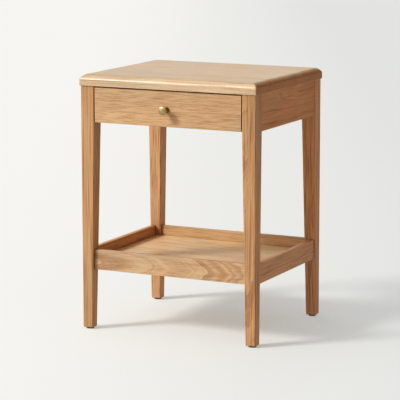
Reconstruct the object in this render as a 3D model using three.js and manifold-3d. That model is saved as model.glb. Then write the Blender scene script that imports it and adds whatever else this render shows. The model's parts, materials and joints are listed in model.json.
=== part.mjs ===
// Side table with one drawer and a lower tray shelf, in solid oak.
// Millimetres, +Z up, the drawer opens towards -Y. The origin is on the floor, in the middle of the
// whole object's footprint, which includes the knob.
import * as THREE from "three";
import { mergeVertices } from "three/addons/utils/BufferGeometryUtils.js";
import Module from "manifold-3d";

const wasm = await Module();
wasm.setup();

// ---------- Driving dimensions ----------
const WIDTH = 450; // table top, left to right
const DEPTH = 375; // table top, front to back
const HEIGHT = 600; // floor to the top's surface
const FIT = 0.3; // clearance between pieces that touch
const LOOSE = 1.5; // working gap round the drawer front and over the drawer box
const ROOT = 4; // how far a tenon's block runs back into its own board
const OPEN = 1; // how far a pocket is cut past the face it opens through

const TOP = { thickness: 26, overhang: 3, cornerRadius: 4, edge: 1 };
// The bevel swells: a swell of 1 would be flat and a swell of 2 a quarter of an ellipse.
const BEVEL = { width: 14, drop: 11.5, swell: 1.45, steps: 5 };
const LEG = { head: 34.2, foot: 24, taperStart: 482, arris: 2.5, footChamfer: 2 };
const GLIDE = { radius: 9, thickness: 3, edge: 1, nailRadius: 1.25, nailLength: 14, nailPoint: 2 };
const APRON = { height: 85, thickness: 19, setBack: 1.5 };
const TENON = { length: 15, thickness: 9, shoulder: 6 };
// The front rails lie flat behind the drawer front.
const RAIL = { depth: 45, thickness: 15, gapOverUpper: 1 };
const RAIL_TENON = { thickness: 8, setBack: 2, shoulder: 3 };
// The drawer runners and kickers, and the guides beside the drawer.
const SLIP = { innerX: 165, guideHeight: 16, gap: 1 };
const SLIP_TENON = { length: 6, thickness: 7, from: 172, to: 184 };
const TRAY = { bottom: 142.5, height: 47, thickness: 12, setBackFront: 9, setBackSide: 2.5 };
const TRAY_PANEL = { top: 165, thickness: 9, groove: 5 };
const TRAY_TENON = { length: 10, thickness: 6, shoulder: 7 };
const DRAWER = { frontThickness: 20, frontSetBack: 1, bumperGap: 1.5, sideThickness: 12, boxDepth: 313 };
const DRAWER_FRONT = { gapBelow: 1, gapAbove: 2.2 };
const DRAWER_BACK = { thickness: 12, drop: 4 }; // the back stands this much lower than the sides
const DRAWER_BOTTOM = { thickness: 6, groove: 5, lift: 6.6 };
const DOVETAIL = { frontCount: 3, backCount: 2, frontLength: 13, neckShare: 0.28, slope: 1 / 6, gap: 0.15 };
const KNOB = { reach: 24, height: 529, boreDepth: 11 };
// The knob's outline as [radius, distance from the drawer front]: rose, waisted neck, then the domed head.
const KNOB_OUTLINE = [
  [7, FIT],
  [7, 2.2],
  [6, 3.2],
  [5.1, 5],
  [4.5, 8],
  [4.9, 11.5],
  [6.5, 14.5],
  [9, 17],
  [10, 18.5],
  [10, 20.5],
  [8.6, 22.4],
  [5, 23.6],
];
const SCREW = { radius: 2, headRadius: 4, headHeight: 2.4, faceRadius: 2.8, rimHeight: 1, endGap: 1 };
const CROSS = { reach: 2.4, depth: 1, width: 0.9 }; // the driver's slot in a screw's head
const SCREW_LENGTH = { guide: 24, top: 22, bottom: 15 };
const COUNTERBORE = 3.4; // depth of the hole that hides a screw's head
const GUIDE_SCREW_PLACES = [-60, 100]; // front to back
const KICKER_SCREW_PLACE = 40; // front to back
const BOTTOM_SCREW_SPREAD = 80;
const TURN_STOP = { width: 14, length: 44, thickness: 7, cornerRadius: 6, pivot: 544 };
const BUMPER = { radius: 4, thickness: 1.1, spread: 120 };
const BUTTON = { width: 30, length: 34, thickness: 14, tongue: 6, tongueLift: 1, spread: 90 };
// How many straight steps a rounded corner is drawn with, and then how many a full turn is.
const STEPS = { legCorner: 3, topCorner: 4, stopCorner: 6 };
const ROUND_STEPS = { nail: 12, screw: 16, bumper: 20, glide: 24, knob: 32 };

// ---------- Derived places, measured from the middle of the table ----------
const underTop = HEIGHT - TOP.thickness;
const legOuter = { x: WIDTH / 2 - TOP.overhang, y: DEPTH / 2 - TOP.overhang };
const legInner = { x: legOuter.x - LEG.head, y: legOuter.y - LEG.head };
const legBottom = GLIDE.thickness + FIT;
const apronBottom = underTop - APRON.height;
const apronTop = underTop - FIT;
const apronOuter = { x: legOuter.x - APRON.setBack, y: legOuter.y - APRON.setBack };
const apronInner = { x: apronOuter.x - APRON.thickness, y: apronOuter.y - APRON.thickness };
const frontFace = -legOuter.y + DRAWER.frontSetBack;
const frontBack = frontFace + DRAWER.frontThickness;
const railFront = frontBack + DRAWER.bumperGap;
const railBack = railFront + RAIL.depth;
const lowerRailTop = apronBottom + RAIL.thickness;
const upperRailBottom = apronTop - RAIL.thickness - RAIL.gapOverUpper;
const boxBottom = lowerRailTop + FIT;
const boxTop = upperRailBottom - LOOSE;
const boxBack = frontBack + DRAWER.boxDepth;
const boxOuterX = legInner.x - LOOSE;
const boxInnerX = boxOuterX - DRAWER.sideThickness;
const drawerUnder = boxBottom + DRAWER_BOTTOM.lift;
const drawerFloor = drawerUnder + DRAWER_BOTTOM.thickness;
const guideInnerX = boxOuterX + SLIP.gap;
const trayTop = TRAY.bottom + TRAY.height;
const trayOuter = { x: legOuter.x - TRAY.setBackSide, y: legOuter.y - TRAY.setBackFront };
const trayInner = { x: trayOuter.x - TRAY.thickness, y: trayOuter.y - TRAY.thickness };

// A leg is this wide at a height, measured in from its two outer faces.
function legWidth(z) {
  const foot = legBottom + LEG.footChamfer;
  const share = Math.min(1, Math.max(0, (z - foot) / (LEG.taperStart - foot)));
  return LEG.foot + (LEG.head - LEG.foot) * share;
}

// ---------- Finishes ----------
const OAK = { color: 0xcfa377, roughness: 0.6, metalness: 0 };
const OAK_DARK = { color: 0xb98a5c, roughness: 0.65, metalness: 0 };
const PLY = { color: 0xd9bd93, roughness: 0.7, metalness: 0 };
const BRASS = { color: 0xc9a552, roughness: 0.3, metalness: 1 };
const STEEL = { color: 0xa8abad, roughness: 0.4, metalness: 1 };
const FELT = { color: 0x4b3a2c, roughness: 0.95, metalness: 0 };
const PLASTIC = { color: 0x2e2620, roughness: 0.7, metalness: 0 };

// ---------- Solids ----------
// A closed three.js geometry as a manifold-3d solid.
function solid(geometry) {
  const bare = geometry.clone();
  bare.deleteAttribute("normal");
  bare.deleteAttribute("uv");
  const merged = mergeVertices(bare, 1e-3);
  return new wasm.Manifold(
    new wasm.Mesh({
      numProp: 3,
      vertProperties: merged.attributes.position.array,
      triVerts: new Uint32Array(merged.index.array),
    }),
  );
}

// A manifold-3d solid as a flat-shaded three.js geometry.
function geometryOf(shape) {
  const mesh = shape.getMesh();
  const geometry = new THREE.BufferGeometry();
  geometry.setAttribute("position", new THREE.BufferAttribute(mesh.vertProperties.slice(), 3));
  geometry.setIndex(new THREE.BufferAttribute(mesh.triVerts.slice(), 1));
  const flat = geometry.toNonIndexed();
  flat.computeVertexNormals();
  return flat;
}

// A box between two values on each axis, given in either order. A positive grow makes it a pocket
// that much bigger all round.
function block([x0, x1], [y0, y1], [z0, z1], grow = 0) {
  const size = [x1 - x0, y1 - y0, z1 - z0].map((length) => Math.abs(length) + 2 * grow);
  const box = new THREE.BoxGeometry(...size);
  box.translate((x0 + x1) / 2, (y0 + y1) / 2, (z0 + z1) / 2);
  return solid(box);
}

// An upright outline of [along, up] points made into a board: its face looks along X or along Y, and
// the board fills the space between two values on that axis.
function board(outline, facing, a, b) {
  const shape = new THREE.Shape(outline.map(([along, up]) => new THREE.Vector2(along, up)));
  const thickness = Math.abs(b - a);
  const geometry = new THREE.ExtrudeGeometry(shape, { depth: thickness, bevelEnabled: false });
  geometry.rotateX(Math.PI / 2);
  geometry.translate(0, thickness / 2, 0);
  if (facing === "x") geometry.rotateZ(Math.PI / 2);
  const middle = (a + b) / 2;
  geometry.translate(facing === "x" ? middle : 0, facing === "y" ? middle : 0, 0);
  return solid(geometry);
}

// A rectangle with rounded corners, centred on the origin.
function roundedRectangle(width, depth, radius) {
  const [x, y] = [width / 2 - radius, depth / 2 - radius];
  const shape = new THREE.Shape();
  shape.absarc(x, -y, radius, -Math.PI / 2, 0);
  shape.absarc(x, y, radius, 0, Math.PI / 2);
  shape.absarc(-x, y, radius, Math.PI / 2, Math.PI);
  shape.absarc(-x, -y, radius, Math.PI, 1.5 * Math.PI);
  return shape;
}

// The outline stacked through rings of { z, width, depth, x, y }, each scaled from the first outline's
// own width and depth and centred on x, y.
function stack(shape, width, depth, rings, curveSegments) {
  const steps = rings.length - 1;
  const options = { depth: steps, steps, bevelEnabled: false, curveSegments };
  const geometry = new THREE.ExtrudeGeometry(shape, options);
  const position = geometry.attributes.position;
  for (let i = 0; i < position.count; i++) {
    const ring = rings[Math.round(position.getZ(i))];
    const x = (position.getX(i) * ring.width) / width + ring.x;
    const y = (position.getY(i) * ring.depth) / depth + ring.y;
    position.setXYZ(i, x, y, ring.z);
  }
  return solid(geometry);
}

// A profile of [radius, along] points turned about an axis that starts at a point and runs in a
// direction.
function turned(profile, at, direction, segments) {
  const geometry = new THREE.LatheGeometry(
    profile.map(([radius, along]) => new THREE.Vector2(radius, along)),
    segments,
  );
  const axis = new THREE.Vector3(...direction);
  geometry.applyQuaternion(new THREE.Quaternion().setFromUnitVectors(new THREE.Vector3(0, 1, 0), axis));
  geometry.translate(...at);
  return solid(geometry);
}

// A plain round bar between two distances along such an axis.
function rod(radius, from, to, at, direction, segments) {
  return turned([[0, from], [radius, from], [radius, to], [0, to]], at, direction, segments);
}

// A pan-head screw. Its head sits behind the point, and its shank runs on from it.
function screw(at, direction, length) {
  const { radius, headRadius, headHeight, faceRadius, rimHeight } = SCREW;
  const profile = [
    [0, -headHeight],
    [faceRadius, -headHeight],
    [headRadius, -rimHeight],
    [headRadius, 0],
    [radius, 0],
    [radius, length - 2 * radius],
    [0, length],
  ];
  const slot = new THREE.BoxGeometry(2 * CROSS.reach, 2 * CROSS.depth, CROSS.width);
  slot.translate(0, -headHeight, 0);
  const axis = new THREE.Vector3(...direction);
  const turn = new THREE.Quaternion().setFromUnitVectors(new THREE.Vector3(0, 1, 0), axis);
  let shape = turned(profile, at, direction, ROUND_STEPS.screw);
  for (const angle of [0, Math.PI / 2]) {
    const turnedSlot = slot.clone().rotateY(angle).applyQuaternion(turn).translate(...at);
    shape = shape.subtract(solid(turnedSlot));
  }
  return shape;
}

// The hole that such a screw needs, with room for its head.
function screwHole(at, direction, length, headRoom = 0) {
  const shank = rod(SCREW.radius + FIT, -FIT, length + FIT, at, direction, ROUND_STEPS.screw);
  if (!headRoom) return shank;
  return shank.add(rod(SCREW.headRadius + FIT, -headRoom, 0, at, direction, ROUND_STEPS.screw));
}

// ---------- Assembly ----------
const table = new THREE.Group();
table.position.y = (KNOB.reach - DRAWER.frontSetBack - TOP.overhang) / 2;
table.name = "side_table";

function add(name, shape, finish) {
  const mesh = new THREE.Mesh(geometryOf(shape), new THREE.MeshStandardMaterial(finish));
  mesh.name = name;
  table.add(mesh);
}

const sides = [["left", -1], ["right", 1]];
const ends = [["front", -1], ["back", 1]];
const upward = [0, 0, 1];
const forward = [0, -1, 0];

// ---------- Aprons ----------
const apronHeights = [apronBottom, apronTop];
const tenonHeights = [apronBottom + TENON.shoulder, apronTop - TENON.shoulder];
const apronMiddle = { x: apronOuter.x - APRON.thickness / 2, y: apronOuter.y - APRON.thickness / 2 };
const apronTenonY = legInner.y + TENON.length;
const backTenonX = legInner.x + TENON.length;
const halfTenon = TENON.thickness / 2;
const buttonTop = underTop - FIT;
const tongueBottom = underTop - BUTTON.thickness + BUTTON.tongueLift;
const tongueHeights = [tongueBottom, tongueBottom + BUTTON.tongue];
const guideScrewHeight = lowerRailTop + FIT + SLIP.guideHeight / 2;
const guideScrewAt = (side, y) => [side * (guideInnerX + COUNTERBORE), y, guideScrewHeight];

const sideTenon = (side, end) => [
  [side * (apronMiddle.x - halfTenon), side * (apronMiddle.x + halfTenon)],
  [end * (legInner.y - ROOT), end * apronTenonY],
  tenonHeights,
];
const backTenon = (side) => [
  [side * (legInner.x - ROOT), side * backTenonX],
  [apronMiddle.y - halfTenon, apronMiddle.y + halfTenon],
  tenonHeights,
];

for (const [name, side] of sides) {
  const span = legInner.y - FIT;
  let apron = block([side * apronInner.x, side * apronOuter.x], [-span, span], apronHeights);
  for (const [, end] of ends) apron = apron.add(block(...sideTenon(side, end)));
  for (const y of GUIDE_SCREW_PLACES) {
    apron = apron.subtract(screwHole(guideScrewAt(side, y), [side, 0, 0], SCREW_LENGTH.guide));
  }
  add(`${name}_apron`, apron, OAK);
}

const backSpan = legInner.x - FIT;
let backApron = block([-backSpan, backSpan], [apronInner.y, apronOuter.y], apronHeights);
const buttonGroove = [
  [-backSpan, backSpan],
  [apronInner.y - OPEN, apronInner.y + BUTTON.tongue],
  tongueHeights,
];
backApron = backApron.subtract(block(...buttonGroove, FIT));
for (const [, side] of sides) backApron = backApron.add(block(...backTenon(side)));
add("back_apron", backApron, OAK);

// ---------- Front rails, hidden behind the drawer front ----------
const railTenonFront = railFront + RAIL_TENON.setBack;
const railTenon = (side, low) => [
  [side * (legInner.x - ROOT), side * (legInner.x + TENON.length)],
  [railTenonFront, railTenonFront + RAIL_TENON.thickness],
  [low + RAIL_TENON.shoulder, low + RAIL.thickness - RAIL_TENON.shoulder],
];
const slipTenon = (side, low) => {
  const middle = low + RAIL.thickness / 2;
  const half = SLIP_TENON.thickness / 2;
  return [
    [side * SLIP_TENON.from, side * SLIP_TENON.to],
    [railBack - SLIP_TENON.length, railBack + 2 * OPEN],
    [middle - half, middle + half],
  ];
};
const topScrewZ = upperRailBottom + COUNTERBORE;
const kickerMiddle = (SLIP.innerX + apronInner.x) / 2;
const topScrewPlaces = [
  ["front_left", -BUMPER.spread, railFront + RAIL.depth / 2],
  ["front_right", BUMPER.spread, railFront + RAIL.depth / 2],
  ["left", -kickerMiddle, KICKER_SCREW_PLACE],
  ["right", kickerMiddle, KICKER_SCREW_PLACE],
];

for (const [name, low, high] of [
  ["lower_front_rail", apronBottom, lowerRailTop],
  ["upper_front_rail", upperRailBottom, apronTop],
]) {
  let rail = block([-backSpan, backSpan], [railFront, railBack], [low, high]);
  for (const [, side] of sides) {
    rail = rail.add(block(...railTenon(side, low)));
    rail = rail.subtract(block(...slipTenon(side, low), FIT));
  }
  if (high === apronTop) {
    for (const [, x, y] of topScrewPlaces.slice(0, 2)) {
      rail = rail.subtract(screwHole([x, y, topScrewZ], upward, SCREW_LENGTH.top, COUNTERBORE + OPEN));
    }
  }
  add(name, rail, OAK_DARK);
}

// ---------- Drawer runners, side guides and kickers ----------
for (const [name, side] of sides) {
  const across = [side * SLIP.innerX, side * (apronInner.x - FIT)];
  const along = [railBack + FIT, legInner.y - FIT];
  const runnerTenon = block(...slipTenon(side, apronBottom));
  const runner = block(across, along, [apronBottom, lowerRailTop]).add(runnerTenon);
  add(`${name}_drawer_runner`, runner, OAK_DARK);

  const kickerScrewAt = [side * kickerMiddle, KICKER_SCREW_PLACE, topScrewZ];
  const kicker = block(across, along, [upperRailBottom, apronTop])
    .add(block(...slipTenon(side, upperRailBottom)))
    .subtract(screwHole(kickerScrewAt, upward, SCREW_LENGTH.top, COUNTERBORE + OPEN));
  add(`${name}_drawer_kicker`, kicker, OAK_DARK);

  const guideFoot = lowerRailTop + FIT;
  const guideAcross = [side * guideInnerX, side * (apronInner.x - FIT)];
  let guide = block(guideAcross, along, [guideFoot, guideFoot + SLIP.guideHeight]);
  GUIDE_SCREW_PLACES.forEach((y, i) => {
    const at = guideScrewAt(side, y);
    guide = guide.subtract(screwHole(at, [side, 0, 0], SCREW_LENGTH.guide, COUNTERBORE + OPEN));
    add(`${name}_guide_screw_${i + 1}`, screw(at, [side, 0, 0], SCREW_LENGTH.guide), STEEL);
  });
  add(`${name}_drawer_guide`, guide, OAK_DARK);
}

// ---------- Tray shelf ----------
const trayTenonZ = [TRAY.bottom + TRAY_TENON.shoulder, trayTop - TRAY_TENON.shoulder];
const panelZ = [TRAY_PANEL.top - TRAY_PANEL.thickness, TRAY_PANEL.top];
const trayLegWidth = legWidth(TRAY.bottom + TRAY.height / 2);
const panelCorner = {
  x: legOuter.x - legWidth(TRAY_PANEL.top) - 2 * FIT,
  y: legOuter.y - legWidth(TRAY_PANEL.top) - 2 * FIT,
};
const trayTenon = (side, end, facing) => {
  const long = facing === "y" ? "x" : "y";
  const [longSign, shortSign] = facing === "y" ? [side, end] : [end, side];
  const middle = trayOuter[facing] - TRAY.thickness / 2;
  const tip = legOuter[long] - trayLegWidth + TRAY_TENON.length;
  const length = [longSign * (tip - TRAY_TENON.length - ROOT), longSign * tip];
  const half = TRAY_TENON.thickness / 2;
  const width = [shortSign * (middle - half), shortSign * (middle + half)];
  return facing === "y" ? [length, width, trayTenonZ] : [width, length, trayTenonZ];
};

function trayRail(facing, sign) {
  const long = facing === "y" ? "x" : "y";
  const reach = (z) => legOuter[long] - legWidth(z) - FIT;
  const outline = [
    [-reach(TRAY.bottom), TRAY.bottom],
    [reach(TRAY.bottom), TRAY.bottom],
    [reach(trayTop), trayTop],
    [-reach(trayTop), trayTop],
  ];
  const groove = [sign * (trayInner[facing] - OPEN), sign * (trayInner[facing] + TRAY_PANEL.groove)];
  const run = [-panelCorner[long], panelCorner[long]];
  const grooveBlock = facing === "y" ? block(run, groove, panelZ, FIT) : block(groove, run, panelZ, FIT);
  let rail = board(outline, facing, sign * trayInner[facing], sign * trayOuter[facing]);
  for (const other of [-1, 1]) {
    const [side, end] = facing === "y" ? [other, sign] : [sign, other];
    rail = rail.add(block(...trayTenon(side, end, facing)));
  }
  return rail.subtract(grooveBlock);
}

for (const [name, end] of ends) add(`${name}_tray_rail`, trayRail("y", end), OAK);
for (const [name, side] of sides) add(`${name}_tray_rail`, trayRail("x", side), OAK);

const panelReach = { x: trayInner.x + TRAY_PANEL.groove - FIT, y: trayInner.y + TRAY_PANEL.groove - FIT };
let trayPanel = block([-panelReach.x, panelReach.x], [-panelReach.y, panelReach.y], panelZ);
for (const [, side] of sides) {
  for (const [, end] of ends) {
    const notchX = [side * panelCorner.x, side * legOuter.x];
    const notchY = [end * panelCorner.y, end * legOuter.y];
    trayPanel = trayPanel.subtract(block(notchX, notchY, panelZ));
  }
}
add("tray_panel", trayPanel, OAK);

// ---------- Legs and glides ----------
const legRings = [
  { z: legBottom, width: LEG.foot - 2 * LEG.footChamfer, centred: LEG.foot },
  { z: legBottom + LEG.footChamfer, width: LEG.foot, centred: LEG.foot },
  { z: LEG.taperStart, width: LEG.head, centred: LEG.head },
  { z: apronTop, width: LEG.head, centred: LEG.head },
];

for (const [endName, end] of ends) {
  for (const [sideName, side] of sides) {
    const rings = legRings.map(({ z, width, centred }) => ({
      z,
      width,
      depth: width,
      x: side * (legOuter.x - centred / 2),
      y: end * (legOuter.y - centred / 2),
    }));
    const foot = [rings[0].x, rings[0].y, 0];
    const nailTip = GLIDE.thickness + GLIDE.nailLength;
    const outline = roundedRectangle(LEG.head, LEG.head, LEG.arris);
    let leg = stack(outline, LEG.head, LEG.head, rings, STEPS.legCorner)
      .subtract(block(...sideTenon(side, end), FIT))
      .subtract(block(...trayTenon(side, end, "x"), FIT))
      .subtract(block(...trayTenon(side, end, "y"), FIT))
      .subtract(rod(GLIDE.nailRadius + FIT, 0, nailTip + FIT, foot, upward, ROUND_STEPS.nail));
    if (end > 0) {
      leg = leg.subtract(block(...backTenon(side), FIT));
    } else {
      leg = leg.subtract(block(...railTenon(side, apronBottom), FIT));
      leg = leg.subtract(block(...railTenon(side, upperRailBottom), FIT));
    }
    add(`${endName}_${sideName}_leg`, leg, OAK);

    const glideProfile = [
      [0, 0],
      [GLIDE.radius - GLIDE.edge, 0],
      [GLIDE.radius, GLIDE.edge],
      [GLIDE.radius, GLIDE.thickness],
      [GLIDE.nailRadius, GLIDE.thickness],
      [GLIDE.nailRadius, nailTip - GLIDE.nailPoint],
      [0, nailTip],
    ];
    add(`${endName}_${sideName}_glide`, turned(glideProfile, foot, upward, ROUND_STEPS.glide), PLASTIC);
  }
}

// ---------- Table top, its screws and its two wooden buttons ----------
const topRing = (inset, z) => ({ z, width: WIDTH - 2 * inset, depth: DEPTH - 2 * inset, x: 0, y: 0 });
const topRings = [topRing(TOP.edge, underTop), topRing(0, underTop + TOP.edge)];
for (let i = 0; i <= BEVEL.steps; i++) {
  const angle = (Math.PI / 2) * (i / BEVEL.steps);
  const inset = BEVEL.width * (1 - Math.cos(angle) ** (2 / BEVEL.swell));
  topRings.push(topRing(inset, HEIGHT - BEVEL.drop * (1 - Math.sin(angle) ** (2 / BEVEL.swell))));
}
const topOutline = roundedRectangle(WIDTH, DEPTH, TOP.cornerRadius);
let tableTop = stack(topOutline, WIDTH, DEPTH, topRings, STEPS.topCorner);
for (const [place, x, y] of topScrewPlaces) {
  const at = [x, y, topScrewZ];
  tableTop = tableTop.subtract(screwHole(at, upward, SCREW_LENGTH.top));
  add(`top_screw_${place}`, screw(at, upward, SCREW_LENGTH.top), STEEL);
}

for (const [name, side] of sides) {
  const x = side * BUTTON.spread;
  const buttonBottom = buttonTop - BUTTON.thickness;
  const at = [x, apronInner.y - BUTTON.length / 2, buttonBottom - FIT];
  const across = [x - BUTTON.width / 2, x + BUTTON.width / 2];
  const length = BUTTON.thickness + TOP.thickness / 2;
  const hole = screwHole(at, upward, length);
  const body = block(across, [apronInner.y - BUTTON.length, apronInner.y - FIT], [buttonBottom, buttonTop]);
  const tongueLength = [apronInner.y - 2 * OPEN, apronInner.y + BUTTON.tongue - FIT];
  const tongue = block(across, tongueLength, tongueHeights);
  add(`${name}_top_button`, body.add(tongue).subtract(hole), OAK_DARK);
  add(`${name}_button_screw`, screw(at, upward, length), STEEL);
  tableTop = tableTop.subtract(hole);
}
add("table_top", tableTop, OAK);

// ---------- Drawer ----------
const drawerFrontZ = [apronBottom + DRAWER_FRONT.gapBelow, underTop - DRAWER_FRONT.gapAbove];
const backZ = [drawerFloor + FIT, boxTop - DRAWER_BACK.drop];
const backFace = boxBack - DRAWER_BACK.thickness;

// Dovetails on a side board's end, evenly spaced over a height, wider at the tip than at the root.
function dovetails(count, [low, high], root, tip, side, gap = 0) {
  const pitch = (high - low) / count;
  const flare = Math.abs(tip - root) * DOVETAIL.slope;
  const outward = Math.sign(tip - root);
  const tails = [];
  for (let i = 0; i < count; i++) {
    const middle = low + pitch * (i + 0.5);
    const neck = pitch * DOVETAIL.neckShare + gap;
    const outline = [
      [root - outward * OPEN, middle - neck],
      [root, middle - neck],
      [tip + outward * gap, middle - neck - flare],
      [tip + outward * gap, middle + neck + flare],
      [root, middle + neck],
      [root - outward * OPEN, middle + neck],
    ];
    tails.push(board(outline, "x", side * (boxInnerX - gap), side * (boxOuterX + gap)));
  }
  return tails;
}
const frontTip = frontBack - DOVETAIL.frontLength;
const frontTails = (side, gap) =>
  dovetails(DOVETAIL.frontCount, [boxBottom, boxTop], frontBack, frontTip, side, gap);
const backTails = (side, gap) => dovetails(DOVETAIL.backCount, backZ, backFace, boxBack, side, gap);

for (const [name, side] of sides) {
  const outline = [
    [frontBack + DOVETAIL.gap, boxBottom],
    [boxBack, boxBottom],
    [boxBack, drawerFloor],
    [backFace - DOVETAIL.gap, drawerFloor],
    [backFace - DOVETAIL.gap, boxTop],
    [frontBack + DOVETAIL.gap, boxTop],
  ];
  let sideBoard = board(outline, "x", side * boxInnerX, side * boxOuterX);
  for (const tail of [...frontTails(side), ...backTails(side)]) sideBoard = sideBoard.add(tail);
  const groove = [
    [side * (boxInnerX - OPEN), side * (boxInnerX + DRAWER_BOTTOM.groove)],
    [frontFace, boxBack + 2 * OPEN],
    [drawerUnder, drawerFloor],
  ];
  add(`drawer_${name}_side`, sideBoard.subtract(block(...groove, FIT)), OAK_DARK);
}

const knobScrewAt = [0, frontBack, KNOB.height];
const knobScrewLength = DRAWER.frontThickness + KNOB.boreDepth - SCREW.endGap;
let drawerFront = block([-boxOuterX, boxOuterX], [frontFace, frontBack], drawerFrontZ);
const frontGroove = [
  [-boxInnerX - DRAWER_BOTTOM.groove, boxInnerX + DRAWER_BOTTOM.groove],
  [frontBack - DRAWER_BOTTOM.groove, frontBack + OPEN],
  [drawerUnder, drawerFloor],
];
drawerFront = drawerFront.subtract(block(...frontGroove, FIT));
drawerFront = drawerFront.subtract(screwHole(knobScrewAt, forward, knobScrewLength));
for (const [, side] of sides) {
  for (const tail of frontTails(side, DOVETAIL.gap)) drawerFront = drawerFront.subtract(tail);
}
add("drawer_front", drawerFront, OAK);

let drawerBack = block([-boxOuterX, boxOuterX], [backFace, boxBack], backZ);
const floorReach = boxInnerX + DRAWER_BOTTOM.groove - FIT;
const floorLength = [frontBack - DRAWER_BOTTOM.groove + FIT, boxBack];
let drawerBottom = block([-floorReach, floorReach], floorLength, [drawerUnder, drawerFloor]);
for (const [, side] of sides) {
  for (const tail of backTails(side, DOVETAIL.gap)) drawerBack = drawerBack.subtract(tail);
}
for (const [name, side] of sides) {
  const at = [side * BOTTOM_SCREW_SPREAD, (backFace + boxBack) / 2, drawerUnder - FIT];
  const hole = screwHole(at, upward, SCREW_LENGTH.bottom);
  drawerBack = drawerBack.subtract(hole);
  drawerBottom = drawerBottom.subtract(hole);
  add(`drawer_bottom_screw_${name}`, screw(at, upward, SCREW_LENGTH.bottom), STEEL);
}

// ---------- Turn stop: a wooden button on the drawer's back that meets the upper front rail ----------
const stopFace = boxBack + FIT;
const stopBack = stopFace + TURN_STOP.thickness;
const stopScrewAt = [0, stopBack + FIT, TURN_STOP.pivot];
const stopScrewLength = TURN_STOP.thickness + DRAWER_BACK.thickness - SCREW.endGap;
const stopHole = screwHole(stopScrewAt, forward, stopScrewLength);
const stopShape = roundedRectangle(TURN_STOP.width, TURN_STOP.length, TURN_STOP.cornerRadius);
const stopGeometry = new THREE.ExtrudeGeometry(stopShape, {
  depth: TURN_STOP.thickness,
  bevelEnabled: false,
  curveSegments: STEPS.stopCorner,
});
stopGeometry.rotateX(Math.PI / 2);
stopGeometry.translate(0, stopBack, TURN_STOP.pivot);
add("drawer_turn_stop", solid(stopGeometry).subtract(stopHole), OAK_DARK);
add("turn_stop_screw", screw(stopScrewAt, forward, stopScrewLength), STEEL);
add("drawer_back", drawerBack.subtract(stopHole), OAK_DARK);
add("drawer_bottom", drawerBottom, PLY);

// ---------- Knob and its screw ----------
const bore = SCREW.radius + FIT;
const knobBore = [[0, KNOB.boreDepth], [bore, KNOB.boreDepth], [bore, FIT]];
const knobProfile = [...knobBore, ...KNOB_OUTLINE, [0, KNOB.reach]];
add("drawer_knob", turned(knobProfile, [0, frontFace, KNOB.height], forward, ROUND_STEPS.knob), BRASS);
add("knob_screw", screw(knobScrewAt, forward, knobScrewLength), STEEL);

// ---------- Bumpers that the closed drawer front rests against ----------
for (const [name, side] of sides) {
  const at = [side * BUMPER.spread, railFront - FIT / 2, apronBottom + RAIL.thickness / 2];
  add(`${name}_drawer_bumper`, rod(BUMPER.radius, 0, BUMPER.thickness, at, forward, ROUND_STEPS.bumper), FELT);
}

export default table;
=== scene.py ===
"""Looks of the side table with drawer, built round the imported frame. Metres, +Z up, drawer towards -Y."""

import json
import math

import bmesh
import bpy
from mathutils import Matrix, Vector


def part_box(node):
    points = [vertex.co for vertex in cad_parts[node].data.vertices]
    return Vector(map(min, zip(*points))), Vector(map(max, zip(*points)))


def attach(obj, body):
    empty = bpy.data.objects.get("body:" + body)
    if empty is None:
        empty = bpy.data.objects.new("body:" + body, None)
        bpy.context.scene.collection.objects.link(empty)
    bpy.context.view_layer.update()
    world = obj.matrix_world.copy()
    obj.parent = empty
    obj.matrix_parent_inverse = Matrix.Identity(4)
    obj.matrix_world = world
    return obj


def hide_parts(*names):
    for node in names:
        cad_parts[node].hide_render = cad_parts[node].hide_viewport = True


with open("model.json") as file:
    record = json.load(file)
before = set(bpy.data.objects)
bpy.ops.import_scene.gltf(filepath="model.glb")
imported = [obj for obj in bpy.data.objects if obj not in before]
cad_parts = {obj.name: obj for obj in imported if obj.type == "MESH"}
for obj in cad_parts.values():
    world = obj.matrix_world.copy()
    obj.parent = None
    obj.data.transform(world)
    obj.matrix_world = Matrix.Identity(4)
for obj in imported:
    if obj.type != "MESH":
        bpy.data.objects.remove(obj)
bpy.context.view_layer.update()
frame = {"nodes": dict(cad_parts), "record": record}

MM = 0.001
TO_MM = (1 / MM,) * 3
UP = (0, 0, 1)
FORWARD = (0, -1, 0)
SIDES = (("left", -1), ("right", 1))
ENDS = (("front", -1), ("back", 1))
SCENE = bpy.context.scene
BODY_OF = {node: body for body, nodes in frame["record"]["behaviour"]["bodies"].items() for node in nodes}


# ---------- Node building ----------
FLOAT, VECTOR = "NodeSocketFloat", "NodeSocketVector"


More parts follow.
